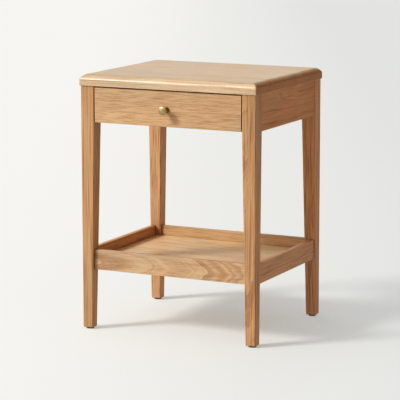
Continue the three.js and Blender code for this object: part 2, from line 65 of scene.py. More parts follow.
class Graph:
    """Short calls for adding shader nodes to one tree."""

    def __init__(self, tree):
        self.tree = tree

    def node(self, kind, inputs=None, **settings):
        made = self.tree.nodes.new(kind)
        for name, value in settings.items():
            setattr(made, name, value)
        for key, value in (inputs or {}).items():
            self.set(made.inputs[key], value)
        return made

    def set(self, socket, value):
        if isinstance(value, bpy.types.NodeSocket):
            self.tree.links.new(value, socket)
        else:
            socket.default_value = value

    def math(self, operation, a, b=0.0):
        return self.node("ShaderNodeMath", {0: a, 1: b}, operation=operation).outputs[0]

    def vector(self, operation, a, b=(0.0, 0.0, 0.0)):
        """Vector arithmetic. A length or a dot product comes out as a number."""
        made = self.node("ShaderNodeVectorMath", {0: a, 1: b}, operation=operation)
        return made.outputs["Value" if operation in ("LENGTH", "DOT_PRODUCT") else "Vector"]

    def scale(self, vector, factor):
        return self.node("ShaderNodeVectorMath", {0: vector, 3: factor}, operation="SCALE").outputs[0]

    def rotate(self, vector, rotation):
        inputs = {"Vector": vector, "Rotation": rotation}
        return self.node("ShaderNodeVectorRotate", inputs, rotation_type="EULER_XYZ").outputs[0]

    def axes(self, vector):
        """The X, Y and Z of a vector."""
        return self.node("ShaderNodeSeparateXYZ", {0: vector}).outputs[:3]

    def coordinate(self, kind):
        return self.node("ShaderNodeTexCoord").outputs[kind]

    def noise(self, vector, scale=1.0, detail=2.0, roughness=0.5):
        inputs = {"Vector": vector, "Scale": scale, "Detail": detail, "Roughness": roughness}
        return self.node("ShaderNodeTexNoise", inputs).outputs["Fac"]

    def mix(self, factor, a, b, blend="MIX"):
        """A blend of two colours, which are inputs 6 and 7 of a Mix node."""
        made = self.node("ShaderNodeMix", data_type="RGBA", blend_type=blend, clamp_factor=True)
        self.set(made.inputs[0], factor)
        self.set(made.inputs[6], a)
        self.set(made.inputs[7], b)
        return made.outputs[2]

    def remap(self, value, low, high, to_low=0.0, to_high=1.0, smooth=False):
        inputs = {"Value": value, 1: low, 2: high, 3: to_low, 4: to_high}
        kind = "SMOOTHSTEP" if smooth else "LINEAR"
        return self.node("ShaderNodeMapRange", inputs, interpolation_type=kind, clamp=True).outputs[0]

    def bump(self, strength, distance, height):
        inputs = {"Strength": strength, "Distance": distance, "Height": height}
        return self.node("ShaderNodeBump", inputs).outputs[0]


def group(name, inputs, outputs):
    """A new node group with named (kind, default) inputs and named outputs, its graph, and its two ends."""
    tree = bpy.data.node_groups.new(name, "ShaderNodeTree")
    for label, kind, default in inputs:
        socket = tree.interface.new_socket(label, in_out="INPUT", socket_type=kind)
        socket.default_value = default
    for label, kind in outputs:
        tree.interface.new_socket(label, in_out="OUTPUT", socket_type=kind)
    graph = Graph(tree)
    return tree, graph, graph.node("NodeGroupInput").outputs, graph.node("NodeGroupOutput").inputs


def shader(name):
    """A new material with a Principled surface, its graph, and the surface's inputs."""
    material = bpy.data.materials.new(name)
    material.use_nodes = True
    material.node_tree.nodes.clear()
    g = Graph(material.node_tree)
    surface = g.node("ShaderNodeBsdfPrincipled")
    out = g.node("ShaderNodeOutputMaterial")
    g.tree.links.new(surface.outputs[0], out.inputs[0])
    return material, g, surface.inputs


def object_point(g):
    """The point on the object in millimetres."""
    return g.vector("MULTIPLY", g.coordinate("Object"), TO_MM)


# ---------- Oak ----------
# Linear colours of the clear wood, the dark early wood and the pores.
LIGHT_OAK = (0.60, 0.385, 0.195)
DARK_OAK = (0.335, 0.165, 0.066)
PORE = (0.16, 0.075, 0.03)
# What end grain, which drinks the finish, keeps of the face's colour.
END_GRAIN = (0.65, 0.45, 0.29)
# What the face's colour is multiplied by in its redder patches.
BLUSH = (1.05, 0.93, 0.84, 1)
# The rotation that turns a board's own axis into the grain's X.
GRAIN_TURN = {"x": (0.0, 0.0, 0.0), "y": (0.0, 0.0, -math.pi / 2), "z": (0.0, math.pi / 2, 0.0)}
# How far one seed moves a board through the wood.
SEED_SHIFT = (173.0, 61.0, 1.0)
# The width and the length of each kind of mark, in millimetres.
FIBRE = (1.2, 40.0)
PORE_SIZE = (0.34, 5.0)
FLECK_SIZE = (0.8, 7.0)
# Waves that bend the rings: (width, length) and height, in millimetres.
WAVES = (((45.0, 260.0), 14.0), ((8.0, 42.0), 2.4))
# How quickly, per ring, and how far, in rings, the rings crowd together and spread.
CROWDING_RATE = 0.31
CROWDING = 2.6
# How far in from an arris wear reaches, in millimetres.
WEAR = (0.3, 3.0)
# How much of the colour flecks, worn arrises and pores take over.
FLECK_SHOW = 0.16
WEAR_SHOW = 0.22
PORE_SHOW = 0.62
# How much rougher pores and end grain are, and how much smoother a worn arris.
PORE_ROUGH = 0.22
END_ROUGH = 0.45
WEAR_SMOOTH = 0.06
# The clear finish. A board's gloss scales the weight of its coat.
FINISH_IOR = 1.47
COAT = 0.16
COAT_ROUGHNESS = 0.35
seeds = iter(range(1, 200))


def stretched(g, point, size, detail, roughness=0.5):
    """Noise drawn out along the grain. size is its width and its length in millimetres."""
    width, length = size
    scaled = g.vector("MULTIPLY", point, (1 / length, 1 / width, 1 / width))
    return g.noise(scaled, 1.0, detail, roughness)


def signed(g, value, size):
    """A value between 0 and 1 moved to lie round 0, and scaled."""
    return g.math("MULTIPLY", g.math("SUBTRACT", value, 0.5), size)


def early_wood(g, given, seeded):
    """How much of the dark early wood of the growth rings a point has."""
    # The heart's line leans, and the waves bend the rings round it.
    leaned = g.scale(given["Lean"], g.axes(given["Point"])[0])
    offset = g.vector("SUBTRACT", g.vector("SUBTRACT", given["Point"], given["Heart"]), leaned)
    flat = g.vector("MULTIPLY", offset, (0.0, 1.0, 1.0))
    wander = g.math("ADD", *(signed(g, stretched(g, seeded, size, 2.0), height) for size, height in WAVES))
    radius = g.math("ADD", g.vector("LENGTH", flat), wander)
    turns = g.math("DIVIDE", radius, given["Ring"])
    crowding = {"W": g.math("MULTIPLY", turns, CROWDING_RATE), "Detail": 2.0}
    uneven = g.node("ShaderNodeTexNoise", crowding, noise_dimensions="1D").outputs["Fac"]
    turns = g.math("ADD", turns, signed(g, uneven, CROWDING))
    year = {"W": g.math("ADD", g.math("FLOOR", turns), given["Seed"])}
    season = g.math("FRACT", turns)
    strength = g.node("ShaderNodeTexWhiteNoise", year, noise_dimensions="1D").outputs["Value"]
    # Early wood starts sharply at each ring and fades through the year.
    fading = g.math("POWER", g.math("SUBTRACT", 1.0, season), 1.5)
    onset = g.remap(season, 0.0, 0.28, smooth=True)
    return g.math("MULTIPLY", g.math("MULTIPLY", fading, onset), g.remap(strength, 0.0, 1.0, 0.25, 1.0))


def oak_figure():
    """Oak in the solid: growth rings round a leaning heart, pores in the early wood, fibres and ray flecks.
    Point is in millimetres with X along the grain, so every cut through a board shows the figure that such
    a cut really has."""
    tree, g, given, made = group(
        "oak_figure",
        [
            ("Point", VECTOR, (0, 0, 0)),
            ("Heart", VECTOR, (0, 60, 0)),
            ("Lean", VECTOR, (0, 0, 0)),
            ("Seed", FLOAT, 0.0),
            ("Ring", FLOAT, 5.0),
            ("Contrast", FLOAT, 1.0),
            ("Stretch", VECTOR, (0.02, 0.3, 0.3)),
            ("Streaks", FLOAT, 1.0),
        ],
        [("Figure", FLOAT), ("Pores", FLOAT), ("Streak", FLOAT), ("Fleck", FLOAT)],
    )
    seeded = g.vector("ADD", given["Point"], g.scale(SEED_SHIFT, given["Seed"]))
    ring = early_wood(g, given, seeded)

    lines = g.noise(g.vector("MULTIPLY", seeded, given["Stretch"]), 1.0, 2.0, 0.55)
    drawn = g.remap(lines, 0.44, 0.66, smooth=True)
    fibres = signed(g, stretched(g, seeded, FIBRE, 2.0, 0.6), 0.8)
    streak = g.math("ADD", g.math("SUBTRACT", drawn, 0.45), fibres)
    open_pores = g.remap(stretched(g, seeded, PORE_SIZE, 1.0), 0.60, 0.70, smooth=True)
    pores = g.math("MULTIPLY", open_pores, g.remap(ring, 0.05, 0.5, 0.18, 1.0))
    fleck = g.remap(stretched(g, seeded, FLECK_SIZE, 1.0), 0.66, 0.74, smooth=True)

    grown = g.math("MULTIPLY", ring, g.math("MULTIPLY", given["Contrast"], 0.9))
    g.set(made["Figure"], g.math("ADD", grown, g.math("MULTIPLY", streak, given["Streaks"])))
    g.set(made["Pores"], pores)
    g.set(made["Streak"], streak)
    g.set(made["Fleck"], fleck)
    return tree


def edge_distance():
    """How far a point on a board's surface is from the board's nearest arris, in millimetres."""
    tree, g, given, made = group(
        "edge_distance",
        [("Point", VECTOR, (0, 0, 0)), ("Low", VECTOR, (0, 0, 0)), ("High", VECTOR, (0, 0, 0))],
        [("Distance", FLOAT)],
    )
    from_low = g.vector("SUBTRACT", given["Point"], given["Low"])
    from_high = g.vector("SUBTRACT", given["High"], given["Point"])
    x, y, z = g.axes(g.vector("MINIMUM", from_low, from_high))
    # On a face one of the three is nothing, so the middle one of them is the way to the nearest arris.
    lesser, greater = g.math("MINIMUM", x, y), g.math("MAXIMUM", x, y)
    g.set(made["Distance"], g.math("MAXIMUM", lesser, g.math("MINIMUM", greater, z)))
    return tree


FIGURE_GROUP = oak_figure()
EDGE_GROUP = edge_distance()


def board_figure(g, point, heart, lean, ring, contrast, lines, streaks):
    """The oak figure's outputs at a point, with the board's own numbers and the next seed."""
    width, length = lines
    inputs = {
        "Point": point,
        "Heart": (0, *heart),
        "Lean": (0, *lean),
        "Seed": float(next(seeds)),
        "Ring": ring,
        "Contrast": contrast,
        "Stretch": (1 / length, 1 / width, 1 / width),
        "Streaks": streaks,
    }
    return g.node("ShaderNodeGroup", inputs, node_tree=FIGURE_GROUP).outputs


def wear(g, low, high):
    """How worn a board is at a point: 1 on its arrises and 0 on the middle of its faces."""
    inputs = {"Point": object_point(g), "Low": tuple(low / MM), "High": tuple(high / MM)}
    distance = g.node("ShaderNodeGroup", inputs, node_tree=EDGE_GROUP).outputs[0]
    return g.remap(distance, *WEAR, 1.0, 0.0, smooth=True)


def oak_colour(g, point, figure, worn, broad, tint, blush, drift):
    """The colour of an oak face: rings and streaks, broad tones, flecks, worn arrises and pores."""
    # The tint is each board's own tone and, on some boards, painted light or shade as well.
    light = (*[a * b for a, b in zip(LIGHT_OAK, tint)], 1)
    dark = (*[a * b for a, b in zip(DARK_OAK, tint)], 1)
    body = g.mix(g.remap(figure["Figure"], -0.3, 0.85), light, dark)
    # Painted shade: the colour darkens along the board's length, standing for light that falls off along it.
    drifted = g.math("SUBTRACT", 1.0, g.math("MULTIPLY", g.axes(point)[0], drift))
    shade = g.math("MULTIPLY", drifted, g.remap(broad, 0.3, 0.7, 0.93, 1.07))
    patches = g.remap(g.noise(point, 0.011, 2.0), 0.35, 0.65, 0.0, blush)
    shaded = g.scale(g.mix(patches, body, BLUSH, "MULTIPLY"), shade)
    flecked = g.mix(g.math("MULTIPLY", figure["Fleck"], FLECK_SHOW), shaded, light)
    edged = g.mix(g.math("MULTIPLY", worn, WEAR_SHOW), flecked, light)
    return g.mix(g.math("MULTIPLY", figure["Pores"], PORE_SHOW), edged, (*PORE, 1))


def oak(
    name, low, high, grain, heart, lean, ring, tint, contrast=1.0, lines=(2.6, 90.0), streaks=0.8,
    dull=0.46, gloss=0.5, blush=0.6, drift=0.0,
):
    """An oak board between two corners in metres. heart is where the tree's heart lies across the grain,
    in millimetres from the board's middle, and lean is how far it wanders per millimetre of length. lines
    is the width and the length of its dark streaks. The last argument is painted shade: how much the board
    darkens per millimetre of length, standing for light that falls off along it."""
    material, g, surface = shader(name)
    turn = GRAIN_TURN[grain]
    centred = g.vector("SUBTRACT", g.coordinate("Object"), tuple((low + high) / 2))
    point = g.vector("MULTIPLY", g.rotate(centred, turn), TO_MM)
    figure = board_figure(g, point, heart, lean, ring, contrast, lines, streaks)
    worn = wear(g, low, high)
    broad = g.noise(g.vector("MULTIPLY", point, (0.004, 0.012, 0.012)), 1.0, 2.0)
    face = oak_colour(g, point, figure, worn, broad, tint, blush, drift)
    along_grain = g.axes(g.rotate(g.coordinate("Normal"), turn))[0]
    end_grain = g.remap(g.math("ABSOLUTE", along_grain), 0.35, 0.85, smooth=True)
    g.set(surface["Base Color"], g.mix(end_grain, face, (*END_GRAIN, 1), "MULTIPLY"))
    rough = g.remap(broad, 0.3, 0.7, dull - 0.03, dull + 0.05)
    rough = g.math("ADD", g.math("MULTIPLY", figure["Pores"], PORE_ROUGH), rough)
    rough = g.math("ADD", rough, g.math("MULTIPLY", end_grain, END_ROUGH))
    g.set(surface["Roughness"], g.math("SUBTRACT", rough, g.math("MULTIPLY", worn, WEAR_SMOOTH)))
    height = g.math("SUBTRACT", g.math("MULTIPLY", figure["Streak"], 0.25), figure["Pores"])
    g.set(surface["Normal"], g.bump(0.35, 0.00025, height))
    surface["IOR"].default_value = FINISH_IOR
    surface["Specular IOR Level"].default_value = gloss
    surface["Coat Weight"].default_value = COAT * gloss
    surface["Coat Roughness"].default_value = COAT_ROUGHNESS
    return material


# ---------- Mesh building ----------
SHARP = math.radians(35)
# Edges shorter than this, in millimetres, are never rounded.
SHORTEST_EDGE = 2.2
ARRIS_SEGMENTS = 2
ROUND_SEGMENTS = 4
# How near, in metres, a point is to a plane or a box that it belongs to.
ON_PLANE = 0.05 * MM
IN_BOX = 0.02 * MM
# Cutters for holes start this far outside the face, in millimetres.
HOLE_START = -2.0
HOLE_SEGMENTS = 16


def piece(node, finish, bm, material):
    """The bmesh as an object that rides with its CAD node's body and stands in for that node, which it hides.
    """
    bmesh.ops.recalc_face_normals(bm, faces=bm.faces)
    for face in bm.faces:
        face.smooth = True
    for edge in bm.edges:
        edge.smooth = len(edge.link_faces) == 2 and edge.calc_face_angle() < SHARP
    mesh = bpy.data.meshes.new(f"{node}_{finish}")
    bm.to_mesh(mesh)
    bm.free()
    made = bpy.data.objects.new(f"{node}_{finish}", mesh)
    SCENE.collection.objects.link(made)
    mesh.materials.append(material)
    weighted = made.modifiers.new("even_shading", "WEIGHTED_NORMAL")
    weighted.keep_sharp = True
    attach(made, BODY_OF[node])
    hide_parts(node)
    return made


def cad_bmesh(node):
    """A CAD node's mesh with its flat faces made whole again."""
    bm = bmesh.new()
    bm.from_mesh(frame["nodes"][node].data)
    bmesh.ops.remove_doubles(bm, verts=bm.verts, dist=1e-6)
    bmesh.ops.dissolve_limit(bm, angle_limit=math.radians(1), verts=bm.verts, edges=bm.edges)
    return bm


def any_edge(edge):
    """Wants every edge."""
    return True


def on_plane(axis, value):
    """Tells whether an edge lies on the plane where an axis has a value, in metres."""
    return lambda edge: all(abs(vert.co[axis] - value) < ON_PLANE for vert in edge.verts)


def soften(bm, radius, segments=ARRIS_SEGMENTS, wanted=any_edge):
    """Rounds the sharp convex edges that are long enough and wanted. The radius is in millimetres."""
    sharp = [
        edge
        for edge in bm.edges
        if len(edge.link_faces) == 2
        and edge.is_convex
        and edge.calc_face_angle() > SHARP
        and edge.calc_length() > SHORTEST_EDGE * MM
        and wanted(edge)
    ]
    bmesh.ops.bevel(bm, geom=sharp, offset=radius * MM, segments=segments, profile=0.5, affect="EDGES")


def arc(centre, radius, start, end, steps):
    """Points on an arc, with its angles in degrees."""
    angles = [math.radians(start + (end - start) * i / steps) for i in range(steps + 1)]
    return [(centre[0] + radius * math.cos(angle), centre[1] + radius * math.sin(angle)) for angle in angles]


def rounded_rectangle(spans, radius, z, steps=6):
    """Points round a rectangle with rounded corners. spans are its low and high X and its low and high Y."""
    low_x, high_x, low_y, high_y = spans
    centres = (
        (high_x - radius, high_y - radius),
        (low_x + radius, high_y - radius),
        (low_x + radius, low_y + radius),
        (high_x - radius, low_y + radius),
    )
    points = []
    for quarter, centre in enumerate(centres):
        points += [(x, y, z) for x, y in arc(centre, radius, 90 * quarter, 90 * quarter + 90, steps)]
    return points


def ring_loft(rings):
    """A closed bmesh through rings of equally many points, with a flat face at both ends."""
    bm = bmesh.new()
    loops = [[bm.verts.new(point) for point in ring] for ring in rings]
    count = len(loops[0])
    for low, high in zip(loops, loops[1:]):
        for i in range(count):
            j = (i + 1) % count
            bm.faces.new((low[i], low[j], high[j], high[i]))
    bm.faces.new(reversed(loops[0]))
    bm.faces.new(loops[-1])
    return bm


def pointing(at, axis):
    """The matrix that moves the origin to a point in metres and turns +Z towards an axis."""
    return Matrix.Translation(at) @ Vector(UP).rotation_difference(Vector(axis)).to_matrix().to_4x4()


def turned(profile, at, axis, segments=48):
    """A closed bmesh: a profile of (radius, along) in millimetres turned about an axis that starts at a
    point in metres. The profile starts and ends on the axis."""
    bm = bmesh.new()
    place = pointing(at, axis)
    angles = [2 * math.pi * i / segments for i in range(segments)]
    rings = []
    for radius, along in profile:
        spread = angles if radius > 0 else angles[:1]
        points = [Vector((radius * math.cos(a), radius * math.sin(a), along)) * MM for a in spread]
        rings.append([bm.verts.new(place @ point) for point in points])
    for low, high in zip(rings, rings[1:]):
        for i in range(segments):
            j = (i + 1) % segments
            corners = [low[i % len(low)], low[j % len(low)], high[j % len(high)], high[i % len(high)]]
            bm.faces.new(list(dict.fromkeys(corners)))
    return bm


def box_bmesh(low, high):
    """A box between two corners."""
    bm = bmesh.new()
    bmesh.ops.create_cube(bm, size=1)
    for vert in bm.verts:
        vert.co = Vector(h if c > 0 else l for c, l, h in zip(vert.co, low, high))
    return bm


def upward_hole(centre, start, radius, depth):
    """A cutter for a round hole up from a height in metres. Its radius and depth are in millimetres."""
    profile = [(0, HOLE_START), (radius, HOLE_START), (radius, depth), (0, depth)]
    return turned(profile, (centre.x, centre.y, start), UP, HOLE_SEGMENTS)


def helper_object(bm):
    """The bmesh as a plain object, which takes part in a cut and is then removed."""
    mesh = bpy.data.meshes.new("helper")
    bmesh.ops.recalc_face_normals(bm, faces=bm.faces)
    bm.to_mesh(mesh)
    bm.free()
    made = bpy.data.objects.new("helper", mesh)
    SCENE.collection.objects.link(made)
    return made


def cut(bm, cutters):
    """A bmesh with closed cutter bmeshes taken out of it."""
    body = helper_object(bm)
    tools = [helper_object(cutter) for cutter in cutters]
    for tool in tools:
        boolean = body.modifiers.new("cut", "BOOLEAN")
        boolean.operation = "DIFFERENCE"
        boolean.solver = "EXACT"
        boolean.object = tool
    evaluated = body.evaluated_get(bpy.context.evaluated_depsgraph_get())
    result = bmesh.new()
    result.from_mesh(evaluated.to_mesh())
    for helper in (body, *tools):
        mesh = helper.data
        bpy.data.objects.remove(helper)
        bpy.data.meshes.remove(mesh)
    return result


def middle(node):
    """The middle of a node's box."""
    low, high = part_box(node)
    return (low + high) / 2


def inside_box(node, neighbour):
    """The lowest and highest corner of the part of a neighbour that lies inside a node's box."""
    low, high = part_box(node)
    points = [
        vertex.co
        for vertex in frame["nodes"][neighbour].data.vertices
        if all(l - IN_BOX < c < h + IN_BOX for c, l, h in zip(vertex.co, low, high))
    ]
    return [Vector(pick(point[axis] for point in points) for axis in range(3)) for pick in (min, max)]


# ---------- Other finishes ----------
BRASS = ((0.43, 0.37, 0.18, 1), (0.56, 0.48, 0.25, 1))
# Dark brass for patches of tarnish and for the painted shade on the knob's neck.
TARNISH_AND_SHADE_BRASS = (0.19, 0.085, 0.018, 1)
BRASS_SPOT = (0.30, 0.18, 0.08, 1)
ZINC_PLATE = ((0.62, 0.63, 0.63, 1), (0.47, 0.48, 0.50, 1))
DULL_ZINC = (0.34, 0.32, 0.30, 1)
WOOL = ((0.055, 0.034, 0.020, 1), (0.16, 0.105, 0.066, 1))
PALE_WOOL = (0.34, 0.26, 0.19, 1)
NYLON = ((0.055, 0.036, 0.024, 1), (0.095, 0.066, 0.046, 1))
DUST = (0.26, 0.22, 0.18, 1)


def brass(node, length):
    """Satin brass: fine turning marks round the knob's axis, dark spots, patches of tarnish and a neck
    darkened with painted shade.
    """
    material, g, surface = shader("brass_" + node)
    point = g.vector("SUBTRACT", object_point(g), tuple(middle(node) / MM))
    x, y, z = g.axes(point)
    across = g.vector("LENGTH", g.node("ShaderNodeCombineXYZ", {0: x, 2: z}).outputs[0])
    marks = g.scale(g.node("ShaderNodeCombineXYZ", {0: across, 1: y}).outputs[0], 7.0)
    rings = g.noise(marks, 1.0, 3.0, 0.6)
    cloud = g.noise(point, 0.22, 3.0, 0.6)
    spots = g.remap(g.noise(point, 1.6, 2.0, 0.5), 0.62, 0.74, smooth=True)
    # Painted shade: the neck, nearer the drawer front than the head, is painted darker, for the head's shade
    # on it and the dark wood it reflects.
    neck = g.remap(y, -length * 0.1, length * 0.35, 0.0, 1.0, smooth=True)
    tarnish_and_neck_shade = g.math("MAXIMUM", g.math("MULTIPLY", neck, 0.7), g.remap(cloud, 0.45, 0.75, 0.0, 0.5))
    clean = g.mix(rings, *BRASS)
    tarnished_and_shaded = g.mix(tarnish_and_neck_shade, clean, TARNISH_AND_SHADE_BRASS)
    g.set(surface["Base Color"], g.mix(g.math("MULTIPLY", spots, 0.25), tarnished_and_shaded, BRASS_SPOT))
    rough = g.math("ADD", g.remap(cloud, 0.3, 0.7, 0.42, 0.52), g.math("MULTIPLY", tarnish_and_neck_shade, 0.12))
    g.set(surface["Roughness"], g.math("ADD", rough, g.math("MULTIPLY", rings, 0.06)))
    g.set(surface["Normal"], g.bump(0.25, 0.0001, rings))
    surface["Metallic"].default_value = 1.0
    surface["Anisotropic"].default_value = 0.35
    return material


def zinc():
    """Zinc-plated steel: faint crystals, small dull spots and fine scratches."""
    material, g, surface = shader("zinc_steel")
    point = object_point(g)
    crystals = g.node("ShaderNodeTexVoronoi", {"Vector": point, "Scale": 1.3}).outputs["Color"]
    grey = g.node("ShaderNodeSeparateColor", {0: crystals}).outputs[0]
    scratches = g.noise(g.vector("MULTIPLY", point, (9.0, 1.2, 9.0)), 1.0, 3.0, 0.6)
    dull = g.remap(g.noise(point, 0.9, 3.0, 0.6), 0.5, 0.7, smooth=True)
    plated = g.mix(g.math("MULTIPLY", grey, 0.5), *ZINC_PLATE)
    g.set(surface["Base Color"], g.mix(g.math("MULTIPLY", dull, 0.35), plated, DULL_ZINC))
    rough = g.remap(dull, 0.0, 1.0, 0.30, 0.5)
    g.set(surface["Roughness"], g.math("ADD", rough, g.math("MULTIPLY", scratches, 0.08)))
    g.set(surface["Normal"], g.bump(0.2, 0.00005, scratches))
    surface["Metallic"].default_value = 1.0
    return material


def felt():
    """Brown wool felt: matted fibres, a few pale ones, and a soft sheen."""
    material, g, surface = shader("felt")
    point = object_point(g)
    swirl = g.node("ShaderNodeTexNoise", {"Vector": point, "Scale": 1.4}).outputs["Color"]
    fibres = g.noise(g.vector("ADD", point, g.scale(swirl, 2.0)), 6.0, 4.0, 0.7)
    clumps = g.noise(point, 1.1, 2.0)
    wool = g.mix(fibres, *WOOL)
    pale = g.remap(fibres, 0.66, 0.74, smooth=True)
    g.set(surface["Base Color"], g.mix(g.math("MULTIPLY", pale, 0.5), wool, PALE_WOOL))
    g.set(surface["Roughness"], g.remap(clumps, 0.3, 0.7, 0.86, 0.98))
    g.set(surface["Normal"], g.bump(0.8, 0.0003, g.math("ADD", fibres, g.math("MULTIPLY", clumps, 0.6))))
    surface["Sheen Weight"].default_value = 0.6
    surface["Sheen Roughness"].default_value = 0.5
    return material


def nylon(node, height):
    """Dark moulded nylon: a fine spark-eroded grain, dusty and scuffed pale at the floor."""
    material, g, surface = shader("nylon_" + node)
    point = object_point(g)
    grain = g.noise(point, 3.2, 3.0, 0.6)
    dust = g.remap(g.noise(point, 0.5, 3.0, 0.6), 0.4, 0.65)
    low_down = g.remap(g.axes(point)[2], 0.0, height, 1.0, 0.0, smooth=True)
    scuff = g.math("MULTIPLY", low_down, dust)
    moulded = g.mix(grain, *NYLON)
    g.set(surface["Base Color"], g.mix(g.math("MULTIPLY", scuff, 0.6), moulded, DUST))
    rough = g.remap(grain, 0.3, 0.7, 0.42, 0.56)
    g.set(surface["Roughness"], g.math("ADD", rough, g.math("MULTIPLY", scuff, 0.2)))
    g.set(surface["Normal"], g.bump(0.4, 0.0001, grain))
    return material


# ---------- Legs ----------
# In millimetres, apart from the number of rings.
LEG_ARRIS = 2.5
FOOT_ROUND = 2.2
FOOT_HEIGHT = 3.0
TAPER_RINGS = 12
TENON_GAP = 0.25
MORTISE_PAST = 2.0
NAIL_HOLE = 1.55
NAIL_CLEAR = 0.4
LEG_LINES = dict(lines=(1.6, 150.0), streaks=0.9, dull=0.50, gloss=0.46, blush=0.4)
LEG_FIGURE = {
    "front_left": dict(heart=(60, -76), lean=(0.02, 0.03), ring=5.5, tint=(0.83, 0.80, 0.83)),
    # Painted shade: the front right leg's falloff value darkens it towards its top.
    "front_right": dict(
        heart=(36, 8), lean=(-0.05, 0.03), ring=5.5, contrast=1.4, tint=(0.82, 0.79, 0.81), drift=0.00032,
    ),
    # The back left leg's tint is partly painted light: lighter, to undo the table's shade that falls on it.
    "back_left": dict(heart=(70, -80), lean=(0.02, -0.03), ring=5.5, tint=(0.95, 0.93, 1.01)),
    "back_right": dict(heart=(-60, 66), lean=(0.03, 0.03), ring=5.6, contrast=1.1, tint=(0.88, 0.76, 0.73)),
}


def leg_bmesh(node, outward):
    """A leg whose two outer faces stand upright and whose two inner faces taper to the foot."""
    source = frame["nodes"][node].data
    low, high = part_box(node)
    foot = [vertex.co for vertex in source.vertices if vertex.co.z < low.z + FOOT_HEIGHT * MM]
    foot_width = max(point.x for point in foot) - min(point.x for point in foot)
    head_width = high.x - low.x
    inner_x = (low, high)[outward[0] < 0].x
    taper_top = min(vertex.co.z for vertex in source.vertices if abs(vertex.co.x - inner_x) < ON_PLANE)

    def section(z, width, inset=0.0):
        spans = []
        for axis in (0, 1):
            outer = (low, high)[outward[axis] > 0][axis]
            inner = outer - outward[axis] * width
            spans += [min(outer, inner) + inset, max(outer, inner) - inset]
        return rounded_rectangle(spans, LEG_ARRIS * MM * width / head_width - inset * 0.5, z)

    round_up = arc((0, FOOT_ROUND), FOOT_ROUND, -90, 0, 5)
    rings = [section(low.z + up * MM, foot_width, (FOOT_ROUND - across) * MM) for across, up in round_up]
    taper_foot = low.z + FOOT_ROUND * MM
    for i in range(1, TAPER_RINGS + 1):
        share = i / TAPER_RINGS
        width = foot_width + (head_width - foot_width) * share
        rings.append(section(taper_foot + (taper_top - taper_foot) * share, width))
    rings.append(section(high.z, head_width))
    return ring_loft(rings)


def mortise(node, neighbour):
    """A cutter for the tenon of a neighbour that enters a leg, open towards the neighbour's middle."""
    low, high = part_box(node)
    tip_low, tip_high = inside_box(node, neighbour)
    towards = middle(neighbour) - middle(node)
    long_axis = max((0, 1), key=lambda axis: abs(towards[axis]))
    if towards[long_axis] > 0:
        tip_high[long_axis] = high[long_axis] + MORTISE_PAST * MM
    else:
        tip_low[long_axis] = low[long_axis] - MORTISE_PAST * MM
    gap = Vector((TENON_GAP * MM,) * 3)
    return box_bmesh(tip_low - gap, tip_high + gap)


def leg(end, side, outward):
    """One leg with its mortises and the hole for its glide's nail."""
    node = f"{end}_{side}_leg"
    neighbours = [f"{side}_apron", f"{side}_tray_rail", f"{end}_tray_rail"]
    neighbours += ["lower_front_rail", "upper_front_rail"] if end == "front" else ["back_apron"]
    low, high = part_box(node)
    nail = f"{end}_{side}_glide"
    depth = (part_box(nail)[1].z - low.z) / MM + NAIL_CLEAR
    cutters = [mortise(node, neighbour) for neighbour in neighbours]
    cutters.append(upward_hole(middle(nail), low.z, NAIL_HOLE, depth))
    bm = cut(leg_bmesh(node, outward), cutters)
    figure = LEG_FIGURE[f"{end}_{side}"]
    return piece(node, "oak", bm, oak("oak_" + node, low, high, "z", **LEG_LINES, **figure))


for end_name, end_sign in ENDS:
    for side_name, side_sign in SIDES:
        leg(end_name, side_name, (side_sign, end_sign))


# ---------- Glides ----------
# In millimetres. The dish and the nail's tip are points across and along; the tip's are counted back.
GLIDE_DISH = ((0, 0.5), (2.2, 0.5), (2.8, 0))
GLIDE_RIM = 1.0
GLIDE_SHOULDER = 0.6
NAIL_RADIUS = 1.25
NAIL_TIP = ((NAIL_RADIUS, 2.5), (0.3, 0.2), (0, 0))
# How near, in metres, a point on the rim is to the disc's full width.
ON_RIM = 0.2 * MM


def disc_top(node):
    """The height of a glide's disc: the highest point at its full width."""
    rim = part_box(node)[1].x - ON_RIM
    return max(vertex.co.z for vertex in frame["nodes"][node].data.vertices if vertex.co.x > rim)


def glide(node):
    """A moulded glide: a disc with a rounded rim and a shallow dish underneath, and its nail."""
    low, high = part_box(node)
    radius = (high.x - low.x) / 2 / MM
    height = (disc_top(node) - low.z) / MM
    nail = (high.z - low.z) / MM
    rim = arc((radius - GLIDE_RIM, GLIDE_RIM), GLIDE_RIM, -90, 0, 5)
    shoulder = arc((radius - GLIDE_SHOULDER, height - GLIDE_SHOULDER), GLIDE_SHOULDER, 0, 90, 4)
    tip = [(across, nail - back) for across, back in NAIL_TIP]
    profile = [*GLIDE_DISH, *rim, *shoulder, (NAIL_RADIUS, height), *tip]
    at = (middle(node).x, middle(node).y, low.z)
    return piece(node, "nylon", turned(profile, at, UP), nylon(node, height))


for end_name, _ in ENDS:
    for side_name, _ in SIDES:
        glide(f"{end_name}_{side_name}_glide")


# ---------- Table top ----------
# In millimetres: the corners' radius, the bevel across and down, and the round of the lower edge.
TOP_CORNER = 4.0
TOP_BEVEL = 14.0
TOP_DROP = 11.5
TOP_UNDER = 1.0
# The bevel's curve: 1 is straight and 2 is an ellipse.
TOP_SWELL = 1.45
BEVEL_STEPS = 18
CORNER_STEPS = 8
# How much of their radius the corners lose across the bevel.
CORNER_LOSS = 0.6
SCREW_HOLE = 2.3
SCREW_CLEAR = 0.3
# The top's tint is partly painted sheen: paler and less red than its wood, for the whitish reflection on the
# top and its bevel.
TOP_FIGURE = dict(
    heart=(300, -300), lean=(0.01, 0.01), ring=7.0, contrast=0.6, tint=(1.07, 1.33, 1.79),
    lines=(2.6, 110.0), streaks=0.5, dull=0.38, gloss=0.75,
)


